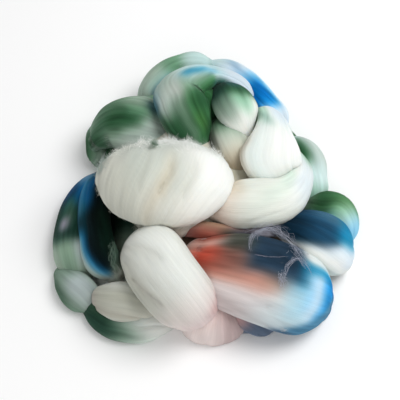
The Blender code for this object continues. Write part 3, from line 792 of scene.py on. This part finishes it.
FIBRE_WIDTH = 0.13
FIBRE_STEPS = 6
FIBRES_PER_SQUARE_MM = 0.40
FIBRE_SHORTEST = 12.0
FIBRE_LONGEST = 42.0
# Fibres lie in the part of a run that shows, between these shares of the turn round it, and this share
# of its skin counts for their number.
SHOWN_SPAN = (0.17, 0.83)
SHOWN_SHARE = 0.62
# How deep a fibre lies in the wool (mm): most are close to the skin, and a few are deeper. It bows
# into the wool over a share of its length, and comes out where it bridges a fold.
FIBRE_LEAST_DEPTH = 0.10
FIBRE_DEPTH = 0.35
FIBRE_DEEP_SHARE = 0.12
FIBRE_DEEP_DEPTH = 1.4
FIBRE_MOST_DEPTH = 4.0
FIBRE_BOW_SPAN = (0.5, 1.0)
FIBRE_BOW = 0.6
# How far a fibre drifts across the others (a share of the turn), how far its dye lies along the run
# from that of the skin under it (mm), and how far it rolls over (radians).
FIBRE_DRIFT = 0.016
FIBRE_CARRY = 5.0
FIBRE_ROLL = 0.9
# A fibre is paler or deeper than the skin by these shares.
FIBRE_LIGHTEN = 0.10
FIBRE_LIGHTEN_MOST = 0.5
FIBRE_VARIATION = 0.12
# A fibre is left out if its middle lies within this share of a half width of another run's line, which
# is looked for at every third ring.
BURIED_SHARE = 0.574
BURIED_RINGS = 3
# A ribbon's ends narrow from this angle of a half turn (radians), it stays this far off the table
# (mm), and it fills this share of its cell in the baked map.
RIBBON_TIP = 0.25
RIBBON_FLOOR = 0.05
RIBBON_CELL_SHARE = 0.8
# A place on a skin's grid is read at least this many rings before the count of them.
LAST_RING = 1.001

# Spray: locks of fibres that leave a run from a patch of it (along in mm, turn in degrees), heading
# that many degrees from the way the run goes (90 = round it, to lower turns), with their mean length
# (mm) and how steeply they dip into the wool (degrees) before they curl out of it.
Spray = namedtuple("Spray", "run start end low high heading scatter locks length dip dye")
SPRAYS = [
    # The torn edge at the top of the crown.
    Spray("crown", 10, 26, 4, 34, 196, 34, 36, 8, 7, "mist"),
    Spray("crown", 8, 22, 30, 70, 180, 30, 30, 7, 6, "wool_pale"),
    Spray("crown", 10, 22, 70, 106, 172, 34, 44, 8, 8, "snow"),
    Spray("crown", 10, 24, 100, 150, 160, 34, 60, 9, 9, "snow"),
    # Its lower left edge, whose locks take that side's painted shade (wool_shade).
    Spray("crown", 30, 64, -6, 20, 280, 50, 14, 5, 8, "wool_shade"),
    # The tuft at the foot of the fan.
    Spray("fan", 52, 64, 16, 34, 250, 50, 6, 4, 8, "fan_white"),
]
LOCK_FIBRES = 18
LOCK_WIDTH = 1.1
LOCK_FIBRE_WIDTH = 0.11
# How locks differ, and then the fibres in a lock: heading in degrees, dip and length as shares of the
# spray's, bend to the side and curl outward as shares of the length.
FIBRE_HEADING = 9
LOCK_DIPS = (0, 2)
FIBRE_DIPS = 0.4
LOCK_LENGTHS = (0.4, 1.5)
FIBRE_LENGTHS = 0.15
LOCK_BEND = 0.3
FIBRE_BEND = 0.12
LOCK_CURLS = (0, 0.3)
FIBRE_CURL = 0.05

# Wisp: loose fibres that float together along a line (mm, in the runs' own measure). Each spans about
# the given share of it.
Wisp = namedtuple("Wisp", "name count spread share dye line")
WISPS = [
    Wisp("arc_over_fan", 22, 1.4, 0.45, "lilac_grey", [
        (31, -49, 66), (31, -44, 66), (33, -39, 66), (36, -34, 63), (42, -30, 60), (48, -30, 58),
        (53, -34, 58), (57, -40, 60), (61, -46, 61), (64, -51, 61), (67, -56, 60), (69, -60, 58),
    ]),
    Wisp("haze_over_fan", 40, 3.4, 0.6, "lilac_grey", [
        (32, -40, 65), (36, -35, 63), (43, -31, 61), (50, -32, 60), (56, -38, 60),
    ]),
    Wisp("tangle_over_fan", 14, 3.0, 0.5, "lilac_grey", [
        (56, -36, 60), (59, -42, 61), (62, -47, 61), (66, -54, 60),
    ]),
    Wisp("loop_over_fan", 14, 0.9, 0.7, "lilac_grey", [
        (52, -63, 60), (53, -60, 61), (54, -56, 61), (57, -53, 61), (60, -51, 61), (63, -53, 60),
        (66, -57, 59), (68, -60, 58),
    ]),
    Wisp("knot_on_fan", 28, 2.0, 0.7, "lilac_grey", [
        (51, -60, 60), (50, -63, 60), (51, -66, 59), (52, -70, 57),
    ]),
    Wisp("line_on_fan", 4, 0.4, 0.8, "lilac_dim", [
        (33, -50, 65), (40, -51, 64), (48, -51, 63), (55, -50, 62),
    ]),
    Wisp("cobweb", 18, 2.4, 0.6, "grey_green", [
        (-56, -31, 46), (-56, -38, 45), (-55, -46, 43), (-53, -54, 40),
    ]),
    Wisp("speck", 60, 1.7, 0.9, "moss", [(-31, 17, 86), (-29, 18, 86), (-27, 17, 86)]),
]
WISP_STEPS = 12
WISP_WIDTH = 0.09
# How the fibres of a wisp differ: their length as a share of the wisp's, how far past the line's ends
# they may lie (a share of it), and their waves and scatter off it (shares of the spread).
WISP_LENGTHS = (0.6, 1.3)
WISP_PAST = 0.1
WISP_WAVES = (1.5, 4.0)
WISP_WAVE_SHARE = 0.5
WISP_SCATTER = 0.6


def sampled(skin, field, along, share):
    """A field of the skin's grid at places given along the run and round it."""
    rings, sides = skin.share.shape
    row = np.clip(np.interp(along, skin.along, np.arange(rings)), 0, rings - LAST_RING)
    column = (share % 1.0) * sides
    i = row.astype(int)
    j = column.astype(int) % sides
    after = (j + 1) % sides
    fi = (row - i)[..., None]
    fj = (column - np.floor(column))[..., None]
    near = field[i, j] * (1 - fj) + field[i, after] * fj
    far = field[i + 1, j] * (1 - fj) + field[i + 1, after] * fj
    return near * (1 - fi) + far * fi


def buried(places, skin, skins):
    """Which places lie inside another run."""
    inside = np.zeros(len(places), bool)
    for other in skins:
        if other is skin:
            continue
        rings = other.rings[::BURIED_RINGS]
        gaps = np.linalg.norm(places[:, None, :] - (rings[:, :3] - ORIGIN), axis=-1)
        inside |= (gaps < rings[:, 3] * BURIED_SHARE).any(axis=1)
    return inside


def ribbon_map(count, steps):
    """A place in the baked map for each face of the ribbons: a square of cells, a ribbon in each."""
    rows = math.ceil(math.sqrt(count))
    cell = np.arange(count)
    wide = RIBBON_CELL_SHARE / rows
    left = (cell % rows)[:, None] / rows
    low = (cell // rows)[:, None] / rows
    part = np.arange(steps) / (steps - 1) * wide
    spans = np.broadcast_arrays(left, left + wide, low + part[:-1], low + part[1:])
    u0, u1, v0, v1 = (span.ravel() for span in spans)
    return corners((u0, v0), (u1, v0), (u1, v1), (u0, v1))


def ribbons(name, paths, sideways, tints, width):
    """Fibres as flat ribbons: paths [fibre, step, 3] in mm, sideways the direction of their width."""
    count, steps = paths.shape[:2]
    taper = width / 2 * np.sin(np.linspace(RIBBON_TIP, math.pi - RIBBON_TIP, steps)) ** 0.5
    offset = sideways * taper[None, :, None]
    points = np.stack((paths - offset, paths + offset), axis=2)
    points[..., 2] = np.maximum(points[..., 2], RIBBON_FLOOR)
    start = (np.arange(count) * steps)[:, None] + np.arange(steps - 1)[None]
    start = start.ravel() * 2
    faces = np.stack((start, start + 1, start + 3, start + 2), axis=1)
    colours = np.repeat(tints.reshape(-1, 3), 2, axis=0)
    maps = {"OFBake": ribbon_map(count, steps)}
    return new_object(name, points.reshape(-1, 3), faces.tolist(), colours, maps)


def varied(tints, rng):
    """The fibres' dyes, each a little paler or deeper."""
    count = len(tints)
    lighten = np.abs(rng.normal(0, FIBRE_LIGHTEN, (count, 1, 1)))
    tints = tints + (linear(DYES_AND_PAINTED_SHADING["white"]) - tints) * np.minimum(lighten, FIBRE_LIGHTEN_MOST)
    return np.clip(tints * (1 + rng.normal(0, FIBRE_VARIATION, (count, 1, 1))), 0, 1)


def loose_fibres(skin, tint, skins, rng):
    """Fibres that lie just in a run's skin, along its own fibres."""
    length = skin.along[-1] - skin.along[0]
    count = int(length * skin.girth * SHOWN_SHARE * FIBRES_PER_SQUARE_MM)
    reach = rng.uniform(FIBRE_SHORTEST, FIBRE_LONGEST, count)
    middle = rng.uniform(skin.along[0], skin.along[-1], count)
    share = rng.uniform(*SHOWN_SPAN, count)
    keep = ~buried(sampled(skin, skin.points, middle, share), skin, skins)
    reach, middle, share = (values[keep][:, None] for values in (reach, middle, share))
    each = (len(middle), 1)
    t = np.linspace(-0.5, 0.5, FIBRE_STEPS)[None]
    along = np.clip(middle + reach * t, skin.along[1], skin.along[-2])
    turned = (skin.fibre - skin.share)[:, :, None]
    at_middle = sampled(skin, turned, middle, share)[..., 0]
    at_place = sampled(skin, turned, along, np.repeat(share, FIBRE_STEPS, axis=1))[..., 0]
    drift = rng.normal(0, FIBRE_DRIFT, each) * t + rng.normal(0, FIBRE_DRIFT, each) * t**2 * 2
    around = share + at_middle - at_place + drift
    deep = rng.uniform(0, 1, each) < FIBRE_DEEP_SHARE
    most = rng.exponential(1.0, each) * np.where(deep, FIBRE_DEEP_DEPTH, FIBRE_DEPTH)
    bow = np.cos(math.pi * t * rng.uniform(*FIBRE_BOW_SPAN, each)) ** 2
    depth = FIBRE_LEAST_DEPTH + np.minimum(most, FIBRE_MOST_DEPTH) * bow * FIBRE_BOW
    inward = unit(sampled(skin, skin.inward(), along, around))
    paths = sampled(skin, skin.points, along, around) + inward * depth[..., None]
    sideways = unit(np.cross(unit(np.gradient(paths, axis=1)), inward))
    roll = rng.uniform(-FIBRE_ROLL, FIBRE_ROLL, (*each, 1))
    sideways = sideways * np.cos(roll) + inward * np.sin(roll)
    tints = sampled(skin, tint, along + rng.normal(0, FIBRE_CARRY, each), around)
    return ribbons(skin.name + "_fibres", paths, sideways, varied(tints, rng), FIBRE_WIDTH)


def sprayed(spray, skin, rng):
    """The fibres of a spray's locks, as paths, the direction of their width and their dyes."""
    locks = spray.locks
    count = locks * LOCK_FIBRES
    lock = np.repeat(np.arange(locks), LOCK_FIBRES)

    def shared(values, spread):
        """A value of each lock's own, and a little of each fibre's."""
        return (values[lock] + rng.normal(0, spread, count))[:, None]

    jitter = LOCK_WIDTH * rng.normal(0, 1, (2, count))
    along = rng.uniform(spray.start, spray.end, locks)[lock] + jitter[0]
    share = (rng.uniform(spray.low, spray.high, locks)[lock] - UNDER) / 360 + jitter[1] / skin.girth
    roots = sampled(skin, skin.points, along, share)
    inward = unit(sampled(skin, skin.inward(), along, share))
    ahead = sampled(skin, skin.points, along + 1, share) - sampled(skin, skin.points, along - 1, share)
    ahead = unit(ahead - inward * np.sum(ahead * inward, axis=1, keepdims=True))
    round_it = np.cross(inward, ahead)
    heading = np.radians(spray.heading + shared(rng.normal(0, spray.scatter, locks), FIBRE_HEADING))
    dip = np.radians(spray.dip * shared(rng.uniform(*LOCK_DIPS, locks), FIBRE_DIPS))
    way = (ahead * np.cos(heading) + round_it * np.sin(heading)) * np.cos(dip) + inward * np.sin(dip)
    aside = unit(np.cross(way, inward))
    length = spray.length * shared(rng.uniform(*LOCK_LENGTHS, locks), FIBRE_LENGTHS)
    bend = aside * shared(rng.normal(0, LOCK_BEND, locks), FIBRE_BEND)
    bend = bend - inward * shared(rng.uniform(*LOCK_CURLS, locks), FIBRE_CURL)
    t = np.linspace(0, 1, FIBRE_STEPS)[None, :, None]
    paths = roots[:, None] + (way * length)[:, None] * t + (bend * length)[:, None] * t**2
    sideways = np.broadcast_to(aside[:, None], paths.shape)
    return paths, sideways, varied(np.broadcast_to(linear(DYES_AND_PAINTED_SHADING[spray.dye]), paths.shape), rng)


def floating(wisp, rng):
    """The fibres of a wisp, as paths, the direction of their width and their dyes."""
    line = np.array(wisp.line, float)
    each = (wisp.count, 1)
    length = wisp.share * rng.uniform(*WISP_LENGTHS, wisp.count)
    start = rng.uniform(-WISP_PAST, 1 + WISP_PAST - wisp.share, wisp.count)
    part = np.clip(start[:, None] + length[:, None] * np.linspace(0, 1, WISP_STEPS), 0, 1)
    places = through(line, part.ravel() * (len(line) - 1)).reshape(wisp.count, WISP_STEPS, 3)
    waves = np.zeros_like(places)
    for axis in range(3):
        turns = rng.uniform(*WISP_WAVES, each)
        phase = rng.uniform(0, 2 * math.pi, each)
        wave = WISP_WAVE_SHARE * np.sin(2 * math.pi * turns * part + phase)
        waves[:, :, axis] = wave + rng.normal(0, WISP_SCATTER, each)
    paths = places + wisp.spread * waves - ORIGIN
    sideways = unit(np.cross(unit(np.gradient(paths, axis=1)), (0.0, 0.0, 1.0)))
    return paths, sideways, varied(np.broadcast_to(linear(DYES_AND_PAINTED_SHADING[wisp.dye]), paths.shape), rng)


def loose_piece(name, parts, width):
    """Groups of fibres, as one object."""
    paths, sideways, tints = (np.concatenate(group) for group in zip(*parts))
    return ribbons(name, paths, sideways, tints, width)


def loose_pieces(skins):
    """The locks that stand off the runs, and the wisps that float over them."""
    by_name = {skin.name: skin for skin in skins}
    locks = [sprayed(spray, by_name[spray.run], seeded(SPRAY_SEED, k)) for k, spray in enumerate(SPRAYS)]
    wisps = [floating(wisp, seeded(WISP_SEED, k)) for k, wisp in enumerate(WISPS)]
    return loose_piece("locks", locks, LOCK_FIBRE_WIDTH), loose_piece("wisps", wisps, WISP_WIDTH)


# ---- Materials ----

# Noise in the wool, in cells per mm across the fibres and along them, with its detail.
STREAKS = (1.3, 0.035, 2.0)
FINE_STREAKS = (3.2, 0.07, 3.0)
# A loose fibre has no combed map, so its streaks lie in space, in cells per metre.
LOOSE_STREAKS = (390.0, 10.5, 2.0)
# What the streaks do to the dye and the roughness, from their low end to their high end.
STREAK_ENDS = (0.25, 0.75)
STREAK_SHADE = (0.95, 1.03)
STREAK_ROUGHNESS = (0.95, 0.72)
WOOL = {"Specular IOR Level": 0.05, "Sheen Weight": 0.03, "Sheen Roughness": 0.5}
DEEP_WOOL = {"Subsurface Weight": 0.45, "Subsurface Radius": (1.0, 0.9, 0.8), "Subsurface Scale": 0.003}
BUMP = {"Strength": 0.6, "Distance": 0.0006}


def add(tree, kind, **settings):
    node = tree.nodes.new(kind)
    for name, value in settings.items():
        setattr(node, name, value)
    return node


def fill(node, values):
    """Sets a node's inputs."""
    for name, value in values.items():
        node.inputs[name].default_value = value


def stretched_noise(tree, source, across, along, detail):
    """Noise drawn out along the fibres: `across` and `along` are its cells per mm."""
    mapping = add(tree, "ShaderNodeMapping")
    noise = add(tree, "ShaderNodeTexNoise")
    fill(mapping, {"Scale": (across, along, 1)})
    fill(noise, {"Scale": 1.0, "Detail": detail})
    tree.links.new(source, mapping.inputs["Vector"])
    tree.links.new(mapping.outputs["Vector"], noise.inputs["Vector"])
    return noise.outputs["Fac"]


def ranged(tree, value, low, high):
    """The streaks' span turned into another."""
    span = add(tree, "ShaderNodeMapRange")
    fill(span, {"From Min": STREAK_ENDS[0], "From Max": STREAK_ENDS[1], "To Min": low, "To Max": high})
    tree.links.new(value, span.inputs["Value"])
    return span.outputs["Result"]


def wool(name, on_skin):
    """Dyed wool with streaks. On a skin they follow the combed fibres, and it is deep and finely ridged."""
    material = bpy.data.materials.new(name)
    material.use_nodes = True
    tree = material.node_tree
    shader = tree.nodes["Principled BSDF"]
    dye = add(tree, "ShaderNodeAttribute", attribute_name="dye")
    if on_skin:
        source = add(tree, "ShaderNodeUVMap", uv_map="combed").outputs["UV"]
    else:
        source = add(tree, "ShaderNodeNewGeometry").outputs["Position"]
    streaks = stretched_noise(tree, source, *(STREAKS if on_skin else LOOSE_STREAKS))
    shade = add(tree, "ShaderNodeVectorMath", operation="SCALE")
    tree.links.new(dye.outputs["Color"], shade.inputs[0])
    tree.links.new(ranged(tree, streaks, *STREAK_SHADE), shade.inputs["Scale"])
    tree.links.new(shade.outputs["Vector"], shader.inputs["Base Color"])
    tree.links.new(ranged(tree, streaks, *STREAK_ROUGHNESS), shader.inputs["Roughness"])
    if on_skin:
        bump = add(tree, "ShaderNodeBump")
        fill(bump, BUMP)
        tree.links.new(stretched_noise(tree, source, *FINE_STREAKS), bump.inputs["Height"])
        tree.links.new(bump.outputs["Normal"], shader.inputs["Normal"])
        fill(shader, DEEP_WOOL)
    fill(shader, WOOL)
    return material


# ---- Stage ----

# What the camera looks at (mm, in the runs' own measure). All other lengths here are in metres.
AIM = np.array((0.0, 0.0, 45.0))
CAMERA_TARGET = Vector((AIM - ORIGIN) * MM)
CAMERA_ELEVATION = 60.0
CAMERA_DISTANCE = 0.650
HALF_FRAME = 0.132
# The camera's sensor is given in mm.
SENSOR = 36.0

Softbox = namedtuple("Softbox", "name place size power")
SOFTBOXES = [
    Softbox("key", (0.45, 0.10, 0.9), 0.6, 6.0),
    Softbox("front", (-0.2, -0.9, 0.7), 0.8, 1.5),
]
LIGHT_TARGET = Vector((0, 0, 0.03))
FLOOR_SIZE = 6.0
FLOOR = {"Base Color": (0.96, 0.96, 0.96, 1), "Roughness": 0.9}
ROOM = {"Color": (1, 1, 1, 1), "Strength": 0.55}


def placed(name, data, place, target):
    """A camera or a light, looking from its place at a target."""
    obj = bpy.data.objects.new(name, data)
    bpy.context.scene.collection.objects.link(obj)
    obj.location = place
    obj.rotation_euler = (target - place).to_track_quat("-Z", "Y").to_euler()
    return obj


def camera():
    data = bpy.data.cameras.new("camera")
    data.sensor_width = SENSOR
    data.lens = SENSOR / 2 * CAMERA_DISTANCE / HALF_FRAME
    rise = math.radians(CAMERA_ELEVATION)
    back = Vector((0.0, -math.cos(rise), math.sin(rise)))
    place = CAMERA_TARGET + back * CAMERA_DISTANCE
    bpy.context.scene.camera = placed("camera", data, place, CAMERA_TARGET)


def lights():
    for box in SOFTBOXES:
        data = bpy.data.lights.new(box.name, "AREA")
        data.shape = "DISK"
        data.size = box.size
        data.energy = box.power
        placed(box.name, data, Vector(box.place), LIGHT_TARGET)


def stage():
    bpy.ops.mesh.primitive_plane_add(size=FLOOR_SIZE)
    floor = bpy.context.object
    floor.name = "floor"
    material = bpy.data.materials.new("floor")
    material.use_nodes = True
    fill(material.node_tree.nodes["Principled BSDF"], FLOOR)
    floor.data.materials.append(material)
    world = bpy.data.worlds.new("room")
    bpy.context.scene.world = world
    world.use_nodes = True
    fill(world.node_tree.nodes["Background"], ROOM)
    lights()
    bpy.context.scene.view_settings.view_transform = "Standard"


# ---- The scene ----

# Each run, mound, dyeing, spray and wisp draws from a seed of its own, counted up from these.
RUN_SEED = 100
MOUND_SEED = 200
DYE_SEED = 300
SPRAY_SEED = 500
WISP_SEED = 600


def seeded(first, index):
    return np.random.default_rng(first + index)


def ride(piece, material):
    piece.data.materials.append(material)
    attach(piece, "root")


def main():
    skin_wool = wool("combed_wool", True)
    fibre_wool = wool("loose_wool", False)
    skins = [run_skin(run, seeded(RUN_SEED, k)) for k, run in enumerate(RUNS)]
    skins += [mound_skin(mound, seeded(MOUND_SEED, k)) for k, mound in enumerate(MOUNDS)]
    for index, skin in enumerate(skins):
        rng = seeded(DYE_SEED, index)
        tint = with_dye_and_painted_shading(skin, rng)
        piece = meshed(skin, tint)
        ride(piece, skin_wool)
        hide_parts("roving")
        if not skin.name.startswith(HIDDEN_RUNS):
            ride(loose_fibres(skin, tint, skins, rng), fibre_wool)
    for piece in loose_pieces(skins):
        ride(piece, fibre_wool)
    camera()
    stage()


main()
